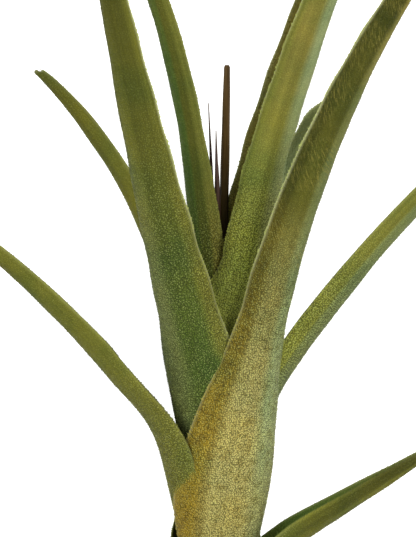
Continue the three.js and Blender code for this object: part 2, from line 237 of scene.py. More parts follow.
# Its right row is pale partly from its silvery scales and partly as painted sheen of light grazing them;
# its left row turns from gold into painted shade higher up.
GOLDEN = {
    "left": along(GOLD, OLD_GOLD, SHADOW_GREEN, SHADOW_GREEN, MOSS),
    "middle": along(SAND, SAND, MOSS, SHADOW_GREEN, MOSS),
    "right": along(SAND, PALE_GREEN, SILVER_GREEN, STRAW, OLIVE_GREEN),
    "inside": along(LEAF_GREEN, PALE_GREEN, OLIVE_GREEN),
}
DRY = {
    "left": [(0.0, (150, 132, 92)), (0.4, (146, 124, 82)), (0.8, (128, 102, 66)), (1.0, (92, 70, 46))],
    "middle": [(0.0, (146, 126, 84)), (0.4, (138, 118, 72)), (0.8, (122, 96, 60)), (1.0, (86, 64, 42))],
    "right": [(0.0, (150, 132, 92)), (0.4, (148, 128, 86)), (0.8, (130, 104, 68)), (1.0, (92, 70, 46))],
    "inside": [(0.0, (120, 102, 66)), (0.4, (112, 94, 58)), (0.8, (98, 76, 48)), (1.0, (76, 56, 38))],
}

# The leaves, from the lowest and outermost to the highest and innermost, with the solids' own sizes. Only
# the left narrow leaf tapers a little less than its solid does.
# height: where it joins the stem. length: along its curve. sheath: how much of that clasps the stem.
# sheath_lean, neck_lean and tip_lean: its lean in the sheath, just above it and at the tip; bend is how
# early the blade takes up the change. neck: the length in which it turns out of the bundle.
# half_width: half the blade's width, flattened, which shrinks to the tip by the power taper. clasp: what
# the sheath adds to that, given up over the length shoulder, or over right_shoulder on the side of larger
# azimuth. settle: a height of its own in which a leaf eases onto the surface. channel: a half angle of
# its own for its arc. curl: how much further its side of larger azimuth rolls on beneath it, from the
# first to the second distance of rolled, with curl_spans as the lengths in which it starts and ends, and
# flare: how fast that part opens outward, as a share of the arc's radius in each radian. rims: how pale
# its left and its right rim are. band: where the middle row of its colours is, from -1 on its left margin
# to 1 on its right, and how far to either side of that the two side rows begin. smooths: between which
# shares of its length its grain fades. clumps: how strongly the scales gather in darker and paler tufts.
# combed: how strongly slanted lines of paler hairs mark its upper part.
LEAVES = [
    dict(name="leaf_01_dry_right", height=14, azimuth=62, length=72, sheath=10, sheath_lean=20,
         neck_lean=84, tip_lean=150, bend=1.1, neck=24, half_width=4.6, taper=0.9, clasp=4.5,
         shoulder=14, colours=DRY, slot="dry_leaf"),
    dict(name="leaf_02_dry_left", height=18, azimuth=-76, length=82, sheath=10, sheath_lean=18,
         neck_lean=80, tip_lean=132, bend=1.2, neck=24, half_width=5.0, taper=0.9, clasp=4.5,
         shoulder=14, colours=DRY, slot="dry_leaf"),
    dict(name="leaf_03_under_right", height=22, azimuth=147, length=92, sheath=11, sheath_lean=16,
         neck_lean=74, tip_lean=94, bend=1.0, neck=24, half_width=5.2, taper=0.85, clasp=4.5,
         shoulder=15, settle=12, colours=OLIVE, slot="olive_leaf"),
    dict(name="leaf_04_front_low", height=26, azimuth=10, length=98, sheath=11, sheath_lean=15,
         neck_lean=76, tip_lean=126, bend=1.1, neck=26, half_width=5.6, taper=0.85, clasp=5,
         shoulder=16, colours=OLIVE, slot="olive_leaf"),
    dict(name="leaf_05_under_left", height=31, azimuth=-128, length=106, sheath=12, sheath_lean=15,
         neck_lean=72, tip_lean=84, bend=1.0, neck=26, half_width=5.4, taper=0.85, clasp=5,
         shoulder=16, settle=12, colours=OLIVE, slot="olive_leaf"),
    dict(name="leaf_06_right_low", height=45, azimuth=96, length=67, sheath=14, sheath_lean=15,
         neck_lean=60, tip_lean=56, bend=1.0, neck=22, half_width=9.0, taper=0.73, clasp=5.5,
         shoulder=16, rims=(0.12, 0.3), band=(-0.72, 0.3), colours=DARK_GREEN, slot="dark_green_leaf"),
    dict(name="leaf_07_front_left_low", height=41, azimuth=-43, length=110, sheath=10, sheath_lean=15,
         neck_lean=84, tip_lean=116, bend=1.1, neck=28, half_width=6.0, taper=0.85, clasp=6,
         shoulder=16, colours=OLIVE, slot="olive_leaf"),
    dict(name="leaf_08_under_left_long", height=48, azimuth=-172, length=118, sheath=24, sheath_lean=15,
         neck_lean=19, tip_lean=22, bend=1.0, neck=14, half_width=4.6, taper=0.7, clasp=8,
         shoulder=16, colours=YELLOW_GREEN, slot="yellow_green_leaf"),
    dict(name="leaf_09_front_long", height=55, azimuth=40, length=178, sheath=26, sheath_lean=12.3,
         neck_lean=0, tip_lean=56, bend=0.77, neck=15.3, half_width=9.1, taper=0.76, clasp=8.6,
         shoulder=39, right_shoulder=32.7, channel=80, curl=107, flare=0.17, rolled=(61, 101),
         curl_spans=(37, 12), rims=(0.85, 0.2), band=(-0.28, 0.4), smooths=(0.36, 0.52),
         clumps=0.9, combed=0.42, colours=GOLDEN, slot="golden_leaf"),
    dict(name="leaf_10_left", height=59, azimuth=-87, length=120, sheath=32, sheath_lean=13.2,
         neck_lean=40, tip_lean=71.5, bend=2.12, neck=15, half_width=7.4, taper=0.8, clasp=3.6,
         shoulder=23, band=(0.65, 0.22), colours=OLIVE, slot="olive_leaf"),
    dict(name="leaf_11_right", height=68, azimuth=84, length=150, sheath=26, sheath_lean=11.5,
         neck_lean=33.6, tip_lean=60.2, bend=1.27, neck=20.4, half_width=7.8, taper=0.74, clasp=4.4,
         shoulder=23.6, band=(-0.72, 0.2), smooths=(0.34, 0.54), colours=YELLOW_GREEN,
         slot="yellow_green_leaf"),
    dict(name="leaf_12_front_left_broad", height=73, azimuth=-30, length=165, sheath=26, sheath_lean=10.5,
         neck_lean=25.6, tip_lean=15, bend=1.47, neck=13.5, half_width=10.1, taper=1.07, clasp=11.6,
         shoulder=20, right_shoulder=13.8, rims=(0.2, 0.9), band=(0.3, 0.5), smooths=(0.3, 0.62),
         colours=DARK_GREEN, slot="dark_green_leaf"),
    dict(name="leaf_13_left_narrow", height=78, azimuth=-86, length=95.6, sheath=26, sheath_lean=10,
         neck_lean=0, tip_lean=44.5, bend=0.82, neck=6, half_width=5.8, taper=0.35, clasp=7,
         shoulder=22, band=(0.68, 0.2), colours=OLIVE, slot="olive_leaf"),
    dict(name="leaf_14_back_right", height=80, azimuth=148, length=118, sheath=34, sheath_lean=6.5,
         neck_lean=24, tip_lean=34, bend=1.0, neck=14, half_width=4.2, taper=0.8, clasp=3,
         shoulder=18, colours=OLIVE, slot="olive_leaf"),
    dict(name="leaf_15_upper_right_broad", height=85, azimuth=57, length=170, sheath=26, sheath_lean=9,
         neck_lean=2.5, tip_lean=35.2, bend=0.62, neck=9.8, half_width=8.7, taper=0.6, clasp=8.9,
         shoulder=19.2, channel=95, curl=70, flare=0.22, rolled=(32, 400), rims=(0.5, 0.35),
         band=(-0.5, 0.4), smooths=(0.28, 0.42), colours=FRESH, slot="yellow_green_leaf"),
    dict(name="leaf_16_inner_left", height=92, azimuth=-60, length=128, sheath=26, sheath_lean=5,
         neck_lean=0, tip_lean=37.2, bend=1.2, neck=6, half_width=4.85, taper=0.4, clasp=2.3,
         shoulder=38.5, rims=(0.05, 0.3), band=(0.48, 0.25), smooths=(0.28, 0.42), colours=DEEP_GREEN,
         slot="dark_green_leaf"),
]

# The heart of the plant: two young leaves still rolled into needles, and the dry flower spike.
YOUNG_LEAVES = [
    dict(name="young_leaf_1", base=(-1.75, 99.5, 0.0), tip=(-1.9, 159.4, 0.0), bow=0.8, radius=0.52,
         point=26.0),
    dict(name="young_leaf_2", base=(0.0, 100.5, 1.8), tip=(-0.4, 153.8, 2.4), bow=0.2, radius=0.68,
         point=16.0),
]
NEEDLE_TIP_RADIUS = 0.1
NEEDLE_RINGS = 60
NEEDLE_SIDES = 20
SPIKE_BASE = (0.0, STEM_TOP + SEAT_GAP, 0.0)
SPIKE_TIP = (1.8, 167.0, 0.0)
SPIKE_BOW = 0.2
SPIKE_RADII = (1.05, 0.9, 0.75, 0.65)
SPIKE_RADIUS_HEIGHTS = (0.0, 41.0, 51.0, 62.0)
SPIKE_RINGS = 140
SPIKE_SIDES = 40
NEEDLE_COLOURS = along((60, 40, 20), (60, 40, 20), (70, 50, 30), (110, 90, 90))
SPIKE_COLOURS = along((40, 40, 10), (50, 40, 10), (60, 50, 20), (80, 60, 20), (90, 70, 40))

NEEDLE_RIDGES = 2600.0
SPIKE_RIDGES = 1900.0
RIDGE_STRETCH = (1.0, 0.08, 1.0)
RIDGE_TINTS = [(0.3, (176, 170, 165)), (0.7, (255, 252, 246))]

# The stem's mesh and its bark, and the wood of its cut face from the middle outward.
STEM_RINGS = 300
STEM_SIDES = 64
SCAR_GROOVE = 0.32
FIBRE_STRETCH = (1.0, 0.16, 1.0)
FIBRE_SCALE = 1500.0
BARK_BLOTCH_SCALE = 260.0
BARK_COLOURS = [(0.3, (62, 44, 30)), (0.5, (108, 82, 56)), (0.72, (150, 122, 88))]
BARK_TINTS = [(0.35, (205, 190, 175)), (0.65, (255, 250, 240))]
WOOD_COLOURS = [(0.0, (150, 122, 84)), (0.55, (176, 150, 108)), (0.9, (120, 90, 60))]
CUT_FACE_SHARE = 0.003
DRY_GAIN = 0.9

# The camera: the frame is 537 by 416 pixels at 5 pixels to a millimetre of the stem's plane.
SENSOR_WIDTH = 36.0
CAMERA_DISTANCE = 620.0
FRAME_HEIGHT = 107.4
FRAME_CENTRE = (-2.0, 126.3)

FLOOR_SIZE = 6.0
FLOOR_GAP = 0.2
FLOOR_GLOW = 0.34

# Lights: name, place and aim in metres, size, power and colour.
LIGHTS = [
    ("key", (0.55, 0.30, 0.90), (0.0, 0.0, 0.03), 0.6, 10.0, (1.0, 0.99, 0.96)),
    ("fill", (-0.60, 0.25, 0.80), (0.0, 0.0, 0.03), 0.7, 7.0, (0.97, 0.99, 1.0)),
]
WORLD_COLOUR = (1.0, 1.0, 1.0, 1.0)
WORLD_STRENGTH = 0.75


def smooth(value):
    """0 at and below 0, 1 at and above 1, and smooth between."""
    value = np.clip(value, 0.0, 1.0)
    return value * value * (3.0 - 2.0 * value)


def mix(a, b, share):
    return a + (b - a) * share


def unit(vectors):
    return vectors / np.linalg.norm(vectors, axis=-1, keepdims=True)


def stem_radius(height):
    taper = np.clip((height - STEM_TAPER_START) / (STEM_TOP - STEM_TAPER_START), 0, 1)
    return mix(STEM_RADIUS, STEM_TOP_RADIUS, taper)


class Leaf:
    """The curve, channel and thickness of one leaf at evenly spaced steps from its base to its tip."""

    def __init__(self, sizes, seed):
        self.right_shoulder = sizes["shoulder"]
        self.channel = CHANNEL_ANGLE
        self.settle = SETTLE_HEIGHT
        self.curl = 0.0
        self.flare = 0.0
        self.rolled = (0.0, 0.0)
        self.curl_spans = CURL_SPANS
        self.rims = COMMON_RIMS
        self.band = COMMON_BAND
        self.smooths = GRAIN_FADES
        self.clumps = COMMON_CLUMPS
        self.combed = 0.0
        for key, value in sizes.items():
            setattr(self, key, value)
        self.random = np.random.default_rng(seed)
        self.phases = self.random.uniform(0, 2 * math.pi, 8)
        self.distance = np.linspace(0, self.length, CURVE_STEPS + 1)
        bearing = math.radians(self.azimuth)
        self.side = np.array([math.sin(bearing), 0.0, math.cos(bearing)])
        self.share = self.blade_share(self.distance)
        self.thick = self.mid_thickness()
        self.points = self.midrib()
        self.frame_outlines()

    def blade_share(self, distance):
        return np.clip((distance - self.sheath) / (self.length - self.sheath), 0, 1)

    def lean_at(self, distance):
        turn = smooth((distance - TURN_STARTS * self.sheath) / self.neck)
        blade_turn = (self.tip_lean - self.neck_lean) * self.blade_share(distance) ** self.bend
        return mix(self.sheath_lean, self.neck_lean, turn) + blade_turn

    def freedom(self):
        """0 where the leaf's arc is centred on the stem, as a sheath, and 1 where it is a free channel."""
        start = CLASP_FULL * self.sheath
        return smooth((self.distance - start) / (self.sheath + self.shoulder - start))

    def mid_thickness(self):
        blade = mix(MIDRIB_THICKNESS, TIP_THICKNESS, self.share ** LATE_CHANGE)
        return mix(SHEATH_THICKNESS, blade, self.freedom())

    def midrib(self):
        step = self.length / CURVE_STEPS
        start = stem_radius(self.height) + SEAT_GAP + SHEATH_THICKNESS / 2 + FACET_SLACK
        lean = np.radians(self.lean_at((np.arange(CURVE_STEPS) + 0.5) * step))
        from_axis = start + np.concatenate([[0], np.cumsum(np.sin(lean) * step)])
        points = from_axis[:, None] * self.side
        points[:, 1] = self.height + np.concatenate([[0], np.cumsum(np.cos(lean) * step)])
        lowest = self.thick / 2 - PRESS_DEPTH - AXIS_HEIGHT
        above = np.clip(points[:, 2] - lowest, -self.settle, self.settle)
        points[:, 2] = np.maximum(points[:, 2], lowest + (above + self.settle) ** 2 / (4 * self.settle))
        return points

    def blade_half_width(self):
        return self.half_width * (1 - self.share) ** self.taper + TIP_HALF_WIDTH

    def whole_half_width(self, shoulder):
        widening = mix(BASE_WIDTH_SHARE, 1, smooth(self.distance / (BASE_WIDENED * self.sheath)))
        clasp_grows = smooth(self.distance / (CLASP_FULL * self.sheath))
        clasp_ends = 1 - smooth((self.distance - CLASP_ENDS * self.sheath) / shoulder)
        return self.blade_half_width() * widening + self.clasp * clasp_grows * clasp_ends

    def curled(self):
        """How far the leaf's right side rolls on beneath it: 0 to 1, within the part that is rolled."""
        starts, ends = self.rolled
        first_span, last_span = self.curl_spans
        rises = smooth((self.distance - starts) / first_span)
        return rises * (1 - smooth((self.distance - ends) / last_span))

    def frame_outlines(self):
        """Sets each step's centre, directions, radius and reach to the left and right margins."""
        before = self.points[np.maximum(np.arange(CURVE_STEPS + 1) - 1, 0)]
        after = self.points[np.minimum(np.arange(CURVE_STEPS + 1) + 1, CURVE_STEPS)]
        self.along = unit(after - before)
        free = self.freedom()
        stem_direction = np.array([0.0, 1.0, 0.0])
        normal = unit(mix(stem_direction, self.along, free[:, None]))
        flat = np.cross(stem_direction, self.side)
        self.across = unit(flat - (normal @ flat)[:, None] * normal)
        self.out = np.cross(self.across, normal)
        from_axis = np.hypot(self.points[:, 0], self.points[:, 2])
        angle = np.radians(mix(self.channel, TIP_CHANNEL_ANGLE, self.share ** LATE_CHANGE))
        channel = np.maximum(self.blade_half_width() / angle, self.thick * TIGHTEST_CHANNEL)
        self.radius = mix(from_axis, channel, free)
        most = math.radians(CLOSEST_WRAP)
        self.reach_left = np.minimum(self.whole_half_width(self.shoulder) / self.radius, most)
        self.reach_right = np.minimum(self.whole_half_width(self.right_shoulder) / self.radius, most)
        self.plain_right = self.reach_right
        self.reach_right = self.plain_right + math.radians(self.curl) * self.curled()
        self.centre = self.points - self.out * self.radius[:, None]
        self.free = free

    def at(self, values, step):
        """One of this leaf's rows of values, read between its steps."""
        steps = np.arange(CURVE_STEPS + 1)
        if values.ndim == 1:
            return np.interp(step, steps, values)
        return np.stack([np.interp(step, steps, column) for column in values.T], axis=-1)

    def reach(self, step, v):
        return np.where(v < 0, self.at(self.reach_left, step), self.at(self.reach_right, step))

    def swell(self, step, v, face):
        """How far the surface stands off its smooth form: slow swells, and waves along the margins."""
        distance = step / CURVE_STEPS * self.length
        p = self.phases
        slow = np.sin(distance / 5.3 + 2.1 * v + p[0]) * np.sin(distance / 8.7 - 1.3 * v + p[1])
        fine = 0.5 * np.sin(distance / 2.3 + 3.7 * v + p[2]) * np.sin(5.2 * v + distance / 6.1 + p[3])
        phase = np.where(v < 0, p[4], p[5])
        beat = 0.65 + 0.35 * np.sin(distance / 17.0 + p[6])
        wave = beat * np.sin(2 * math.pi * distance / WAVE_LENGTH + phase)
        return face * SWELL * (slow + fine) + MARGIN_WAVE * wave * np.abs(v) ** 3 * self.at(self.free, step)

    def surface(self, step, v, face, lift=0.0, past_margin=0.0):
        """Points on the leaf. v is -1 and 1 at the margins. face is 1 outside, -1 inside, 0 between."""
        radius = self.at(self.radius, step)
        thickness = mix(MARGIN_THICKNESS, self.at(self.thick, step), 1 - v * v)
        rise = self.swell(step, v, face) * np.minimum(1, self.at(self.free, step) + 0.15)
        turn = v * self.reach(step, v) + np.sign(v) * past_margin / radius
        rolled_on = np.clip(turn - self.at(self.plain_right, step), 0, None)
        arm = radius * (1 + self.flare * rolled_on) + face * (thickness / 2 + lift) + rise
        out, across = self.at(self.out, step), self.at(self.across, step)
        centre = self.at(self.centre, step)
        return centre + out * (arm * np.cos(turn))[..., None] + across * (arm * np.sin(turn))[..., None]


def above_floor(points, clearance=0.0):
    points[..., 2] = np.maximum(points[..., 2], clearance - AXIS_HEIGHT)
    return points


def build_mesh(name, shape):
    """A mesh from a shape: points in millimetres in the plant's frame, quads, triangles and values."""
    points, quads, triangles = shape["points"], shape["quads"], shape["triangles"]
    mesh = bpy.data.meshes.new(name)
    mesh.vertices.add(len(points))
    mesh.vertices.foreach_set("co", (PLANT_ORIGIN + points * MM).ravel())
    mesh.loops.add(quads.size + triangles.size)
    mesh.loops.foreach_set("vertex_index", np.concatenate([quads.ravel(), triangles.ravel()]))
    mesh.polygons.add(len(quads) + len(triangles))
    starts = np.concatenate([np.arange(len(quads)) * 4, quads.size + np.arange(len(triangles)) * 3])
    mesh.polygons.foreach_set("loop_start", starts)
    mesh.polygons.foreach_set("use_smooth", np.ones(len(starts), dtype=bool))
    mesh.update(calc_edges=True)
    if "uvs" in shape:
        uv_layer = mesh.uv_layers.new(name="OFBake")
        uv_layer.uv.foreach_set("vector", shape["uvs"].astype(np.float32).ravel())
    for key in ("edge", "tone"):
        if key in shape:
            layer = mesh.attributes.new(key, "FLOAT", "POINT")
            layer.data.foreach_set("value", shape[key].astype(np.float32).ravel())
    layer = mesh.attributes.new("growth", "FLOAT_VECTOR", "POINT")
    layer.data.foreach_set("vector", shape["growth"].astype(np.float32).ravel())
    mesh.validate()
    return mesh


def add_piece(name, shape, material, replaced=None):
    mesh = build_mesh(name, shape)
    mesh.materials.append(material)
    piece = bpy.data.objects.new(name, mesh)
    bpy.context.scene.collection.objects.link(piece)
    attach(piece, "root")
    if replaced:
        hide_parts(replaced)
    return piece


def joined_rings(ring_count, count):
    """The quads of a tube of rings, each of the same count of points, and the corners' places on a map."""
    ring, place = np.meshgrid(np.arange(ring_count - 1), np.arange(count), indexing="ij")
    following = (place + 1) % count
    quads = [
        ring * count + place,
        ring * count + following,
        (ring + 1) * count + following,
        (ring + 1) * count + place,
    ]
    corners = [(ring, place), (ring, place + 1), (ring + 1, place + 1), (ring + 1, place)]
    uvs = [
        np.stack([0.005 + 0.99 * place / count, 0.01 + 0.98 * ring / (ring_count - 1)], axis=-1)
        for ring, place in corners
    ]
    return np.stack(quads, axis=-1).reshape(-1, 4), np.stack(uvs, axis=-2).reshape(-1, 2)


def edge_closeness(leaf, step, v):
    """How pale the leaf's rim makes it: most on the margin, and 0 from a short way inside it."""
    inwards = (1 - np.abs(v)) * leaf.reach(step, v) * leaf.at(leaf.radius, step)
    rim = np.where(v < 0, *leaf.rims)
    starts, ends = RIMS_START
    grows = mix(RIM_AT_BASE, 1, smooth((leaf.at(leaf.share, step) - starts) / (ends - starts)))
    return np.clip(1 - inwards / (RIM_WIDTH + RIM_WIDENS * rim), 0, 1) * rim * grows


def leaf_shape(leaf):
    """The leaf's skin: rings of points round it, from its base to its rounded tip."""
    stations = round(leaf.length / STATION_SPACING)
    steps = np.linspace(0, CURVE_STEPS, stations + 1)
    row = np.linspace(-1, 1, POINTS_ACROSS)
    v = np.concatenate([row, [1.0], row[::-1], [-1.0]])
    face = np.concatenate([np.ones(POINTS_ACROSS), [0.0], -np.ones(POINTS_ACROSS), [0.0]])
    past = np.where(face == 0, MARGIN_THICKNESS / 2, 0.0)
    count = len(v)
    step_grid, v_grid = np.meshgrid(steps, v, indexing="ij")
    rings = leaf.surface(step_grid, v_grid, np.tile(face, (stations + 1, 1)), past_margin=past)

    # The last rings close in a rounded tip.
    tip_centre = rings[-1].mean(axis=0)
    spokes = rings[-1] - tip_centre
    tip_length = np.linalg.norm(spokes, axis=1).mean()
    turns = np.radians(np.linspace(0, LAST_TIP_TURN, TIP_RINGS + 1)[1:])
    caps = [tip_centre + spokes * math.cos(t) + leaf.along[-1] * tip_length * math.sin(t) for t in turns]
    points = above_floor(np.concatenate([rings, np.array(caps)]))
    ring_count = len(points)
    steps = np.concatenate([steps, np.full(TIP_RINGS, float(CURVE_STEPS))])
    step_grid, v_grid = np.meshgrid(steps, v, indexing="ij")

    # Flat strips close the base, which the sheaths hide, and what is left of the tip.
    quads, uvs = joined_rings(ring_count, count)
    caps, triangles = [], []
    last = (ring_count - 1) * count
    for i in range(POINTS_ACROSS - 1):
        far = 2 * POINTS_ACROSS - i
        caps.append([i + 1, i, far, far - 1])
        caps.append([last + i, last + i + 1, last + far - 1, last + far])
    right, left = POINTS_ACROSS, 2 * POINTS_ACROSS + 1
    triangles.append([right, right - 1, right + 1])
    triangles.append([0, left, left - 1])
    triangles.append([last + right - 1, last + right, last + right + 1])
    triangles.append([last + left, last, last + left - 1])
    inside = np.tile((1 - face) / 2, (ring_count, 1))
    return dict(
        points=points.reshape(-1, 3),
        quads=np.concatenate([quads, caps]),
        triangles=np.array(triangles),
        uvs=np.concatenate([uvs, np.full((4 * len(caps) + 3 * len(triangles), 2), MAP_CORNER)]),
        growth=np.stack([step_grid / CURVE_STEPS, v_grid, inside], axis=-1).reshape(-1, 3),
        edge=edge_closeness(leaf, step_grid, v_grid).ravel(),
    )


def scale_places(leaf):
    """Steps, places across, faces, bearings and lengths of a leaf's scales and of its margins' hairs."""
    random = leaf.random
    rows = []
    for face, spacing in ((1, SCALE_SPACING_OUTSIDE), (-1, SCALE_SPACING_INSIDE)):
        lines = np.arange(spacing, leaf.length, spacing) * CURVE_STEPS / leaf.length
        width = leaf.at((leaf.reach_left + leaf.reach_right) * (leaf.radius + face * leaf.thick / 2), lines)
        if face < 0:
            width = width * (leaf.at(leaf.free, lines) > HIDDEN_FREEDOM)
        counts = (width / spacing).astype(int)
        in_line = np.repeat(counts, counts)
        first = np.repeat(np.cumsum(counts) - counts, counts)
        stagger = np.repeat(np.arange(len(lines)) % 2 * 0.5, counts)
        count = len(in_line)
        aside = random.uniform(-SCALE_JITTER, SCALE_JITTER, count)
        ahead = random.uniform(-SCALE_JITTER, SCALE_JITTER, count) * spacing * CURVE_STEPS / leaf.length
        place = np.clip((np.arange(count) - first + 0.25 + stagger + aside) / in_line, 0, 1)
        step = np.clip(np.repeat(lines, counts) + ahead, 0, CURVE_STEPS)
        left, right = leaf.at(leaf.reach_left, step), leaf.at(leaf.reach_right, step)
        turn = mix(-left, right, place)
        v = np.where(turn < 0, turn / left, turn / right)
        bearing = np.radians(random.normal(0, SCALE_SPREAD, count))
        length = random.uniform(*SCALE_LENGTH, count)
        rows.append((step, v, np.full(count, float(face)), bearing, length))
    count = int(2 * leaf.length * MARGIN_HAIRS_PER_MM)
    side = random.choice([-1.0, 1.0], count)
    bearing = side * np.radians(random.uniform(*HAIR_TURN, count))
    face = random.choice([-1.0, 1.0], count)
    step = random.uniform(0, CURVE_STEPS - 1, count)
    v = side * random.uniform(*HAIR_PLACE, count)
    length = random.uniform(*HAIR_LENGTH, count)
    rows.append((step, v, face, bearing, length))
    return [np.concatenate(column) for column in zip(*rows)]


def scale_shape(leaf):
    """The leaf's coat: one kite of two triangles for each scale, lifted towards its point."""
    step, v, face, bearing, length = scale_places(leaf)
    random = leaf.random
    count = len(step)
    foot = leaf.surface(step, v, face)
    forwards = unit(leaf.surface(step + 0.5, v, face) - leaf.surface(step - 0.5, v, face))
    sideways = unit(leaf.surface(step, v + 0.01, face) - leaf.surface(step, v - 0.01, face))
    normal = unit(np.cross(sideways, forwards)) * face[:, None]
    sideways = np.cross(forwards, normal) * face[:, None]
    point = forwards * np.cos(bearing)[:, None] + sideways * np.sin(bearing)[:, None]
    beside = np.cross(normal, point)
    width = random.uniform(*SCALE_WIDTH, count)
    lift = length * np.tan(np.radians(random.uniform(*SCALE_TILT, count)))
    points = np.stack(
        [
            foot
            + point * (ahead * length)[:, None]
            + beside * (aside * width)[:, None]
            + normal * (sunk + rise * lift)[:, None]
            for ahead, aside, sunk, rise in SCALE_CORNERS
        ],
        axis=1,
    )
    perimeter = 2 * (leaf.at(leaf.reach_left + leaf.reach_right, step)) * leaf.at(leaf.radius, step)
    half = (POINTS_ACROSS - 1) / (2 * POINTS_ACROSS + 2)
    outside = half * (v + 1) / 2
    inside = (POINTS_ACROSS + 1) / (2 * POINTS_ACROSS + 2) + half * (1 - v) / 2
    place = np.stack([np.where(face > 0, outside, inside), step / CURVE_STEPS], axis=-1)
    uvs = np.stack(
        [
            place + np.stack([aside * width / perimeter, ahead * length / leaf.length], axis=-1)
            for ahead, aside, sunk, rise in SCALE_CORNERS
        ],
        axis=1,
    )
    growth = np.stack([step / CURVE_STEPS, v, (1 - face) / 2], axis=-1)
    return dict(
        points=above_floor(points.reshape(-1, 3), SCALE_CLEARANCE),
        quads=np.arange(4 * count).reshape(-1, 4),
        triangles=np.zeros((0, 3), dtype=int),
        uvs=0.01 + 0.98 * uvs.reshape(-1, 2),
        growth=np.repeat(growth, 4, axis=0),
        edge=np.repeat(edge_closeness(leaf, step, v), 4),
        tone=np.repeat(random.uniform(0, 1, count), 4),
    )


def rod_shape(spine, radius_at, sides):
    """A closed round piece about a spine of points. radius_at takes shares of the length and turns."""
    spine = np.array(spine, dtype=float)
    along = unit(np.gradient(spine, axis=0))
    flat = unit(np.cross(along, np.array([1.0, 0.0, 0.0])))
    other = np.cross(along, flat)
    share, turn = np.meshgrid(
        np.linspace(0, 1, len(spine)), np.linspace(0, 2 * math.pi, sides, endpoint=False), indexing="ij"
    )
    radius = radius_at(share, turn)
    points = (
        spine[:, None]
        + flat[:, None] * (radius * np.cos(turn))[..., None]
        + other[:, None] * (radius * np.sin(turn))[..., None]
    )
    quads, uvs = joined_rings(len(spine), sides)
    first, last = len(spine) * sides, len(spine) * sides + 1
    start = (len(spine) - 1) * sides
    triangles = []
    for i in range(sides):
        following = (i + 1) % sides
        triangles.append([first, following, i])
        triangles.append([last, start + i, start + following])
    ends = np.stack([spine[0], spine[-1]])
    growth = np.stack([share, turn / (2 * math.pi), radius / radius.max()], axis=-1).reshape(-1, 3)
    return dict(
        points=np.concatenate([points.reshape(-1, 3), ends]),
        quads=quads,
        triangles=np.array(triangles),
        uvs=np.concatenate([uvs, np.full((3 * len(triangles), 2), MAP_CORNER)]),
        growth=np.concatenate([growth, [[0, 0, 0], [1, 0, 0]]]),
    )


def linear(colour, gain=1.0):
    """A colour of 0 to 255 steps as the eye sees it, as the linear colour that a shader takes."""
    steps = np.array(colour) / 255.0
    values = np.where(steps <= 0.04045, steps / 12.92, ((steps + 0.055) / 1.055) ** 2.4)
    return (*np.minimum(values * gain, 1.0), 1.0)


class Nodes:
    """Builds one material's node tree. Inputs are numbers, colours or other nodes' outputs."""

    def __init__(self, name):
        self.material = bpy.data.materials.new(name)
        self.material.use_nodes = True
        self.tree = self.material.node_tree
        self.tree.nodes.clear()

    def add(self, kind, inputs, output=0, **settings):
        node = self.tree.nodes.new(kind)
        for key, value in settings.items():
            setattr(node, key, value)
        for key, value in inputs.items():
            if isinstance(value, bpy.types.NodeSocket):
                self.tree.links.new(value, node.inputs[key])
            else:
                node.inputs[key].default_value = value
        return node.outputs[output]

    def attribute(self, name, output):
        return self.add("ShaderNodeAttribute", {}, output, attribute_name=name)

    def math(self, operation, a, b=0.0):
        return self.add("ShaderNodeMath", {0: a, 1: b}, operation=operation)

    def dot(self, vector, direction):
        return self.add("ShaderNodeVectorMath", {0: vector, 1: direction}, 1, operation="DOT_PRODUCT")

    def parts(self, vector):
        node = self.tree.nodes.new("ShaderNodeSeparateXYZ")
        self.tree.links.new(vector, node.inputs[0])
        return node.outputs

    def stretched(self, vector, factors):
        return self.add("ShaderNodeVectorMath", {0: vector, 1: factors}, operation="MULTIPLY")

    def mix(self, share, a, b, blend="MIX"):
        inputs = {0: share, 6: a, 7: b}
        return self.add("ShaderNodeMix", inputs, 2, data_type="RGBA", blend_type=blend)

    def spread(self, value, low, high, to_low=0.0, to_high=1.0):
        inputs = {"Value": value, "From Min": low, "From Max": high, "To Min": to_low, "To Max": to_high}
        return self.add("ShaderNodeMapRange", inputs, interpolation_type="SMOOTHSTEP")

    def ramp(self, place, stops, gain):
        node = self.tree.nodes.new("ShaderNodeValToRGB")
        elements = node.color_ramp.elements
        while len(elements) < len(stops):
            elements.new(0.5)
        for element, (position, colour) in zip(elements, stops):
            element.position = position
            element.color = linear(colour, gain)
        self.tree.links.new(place, node.inputs[0])
        return node.outputs[0]

    def noise(self, vector, scale, detail=2.0):
        return self.add("ShaderNodeTexNoise", {"Vector": vector, "Scale": scale, "Detail": detail})

    def grain_left(self, share, leaf):
        """How much of the grain is left along a leaf: all of it near the base, little near the tip."""
        return self.spread(share, *leaf.smooths, 1.0, GRAIN_AT_TIP)

    def object_place(self):
        return self.add("ShaderNodeTexCoord", {}, 3)

    def finish(self, inputs):
        shader = self.add("ShaderNodeBsdfPrincipled", inputs)
        self.add_output(shader)
        return self.material

    def add_output(self, shader):
        node = self.tree.nodes.new("ShaderNodeOutputMaterial")
        self.tree.links.new(shader, node.inputs["Surface"])


def comb_lines(nodes, growth, leaf):
    """Fine lines that slant over a leaf's face, in patches: 0 to 1."""
    width = leaf.half_width * COMB_SLANT
    along = nodes.dot(growth, (leaf.length, -width, 0.0))
    aside = nodes.dot(growth, (leaf.length, width, 0.0))
    place = nodes.add("ShaderNodeCombineXYZ", {0: nodes.math("MULTIPLY", along, COMB_STRETCH), 1: aside})
    lines = nodes.spread(nodes.noise(place, COMB_SCALE, 1.0), *COMB_LINES)
    patches = nodes.spread(nodes.noise(nodes.object_place(), COMB_PATCH_SCALE, 1.0), *COMB_PATCHES)
    return nodes.math("MULTIPLY", lines, patches)


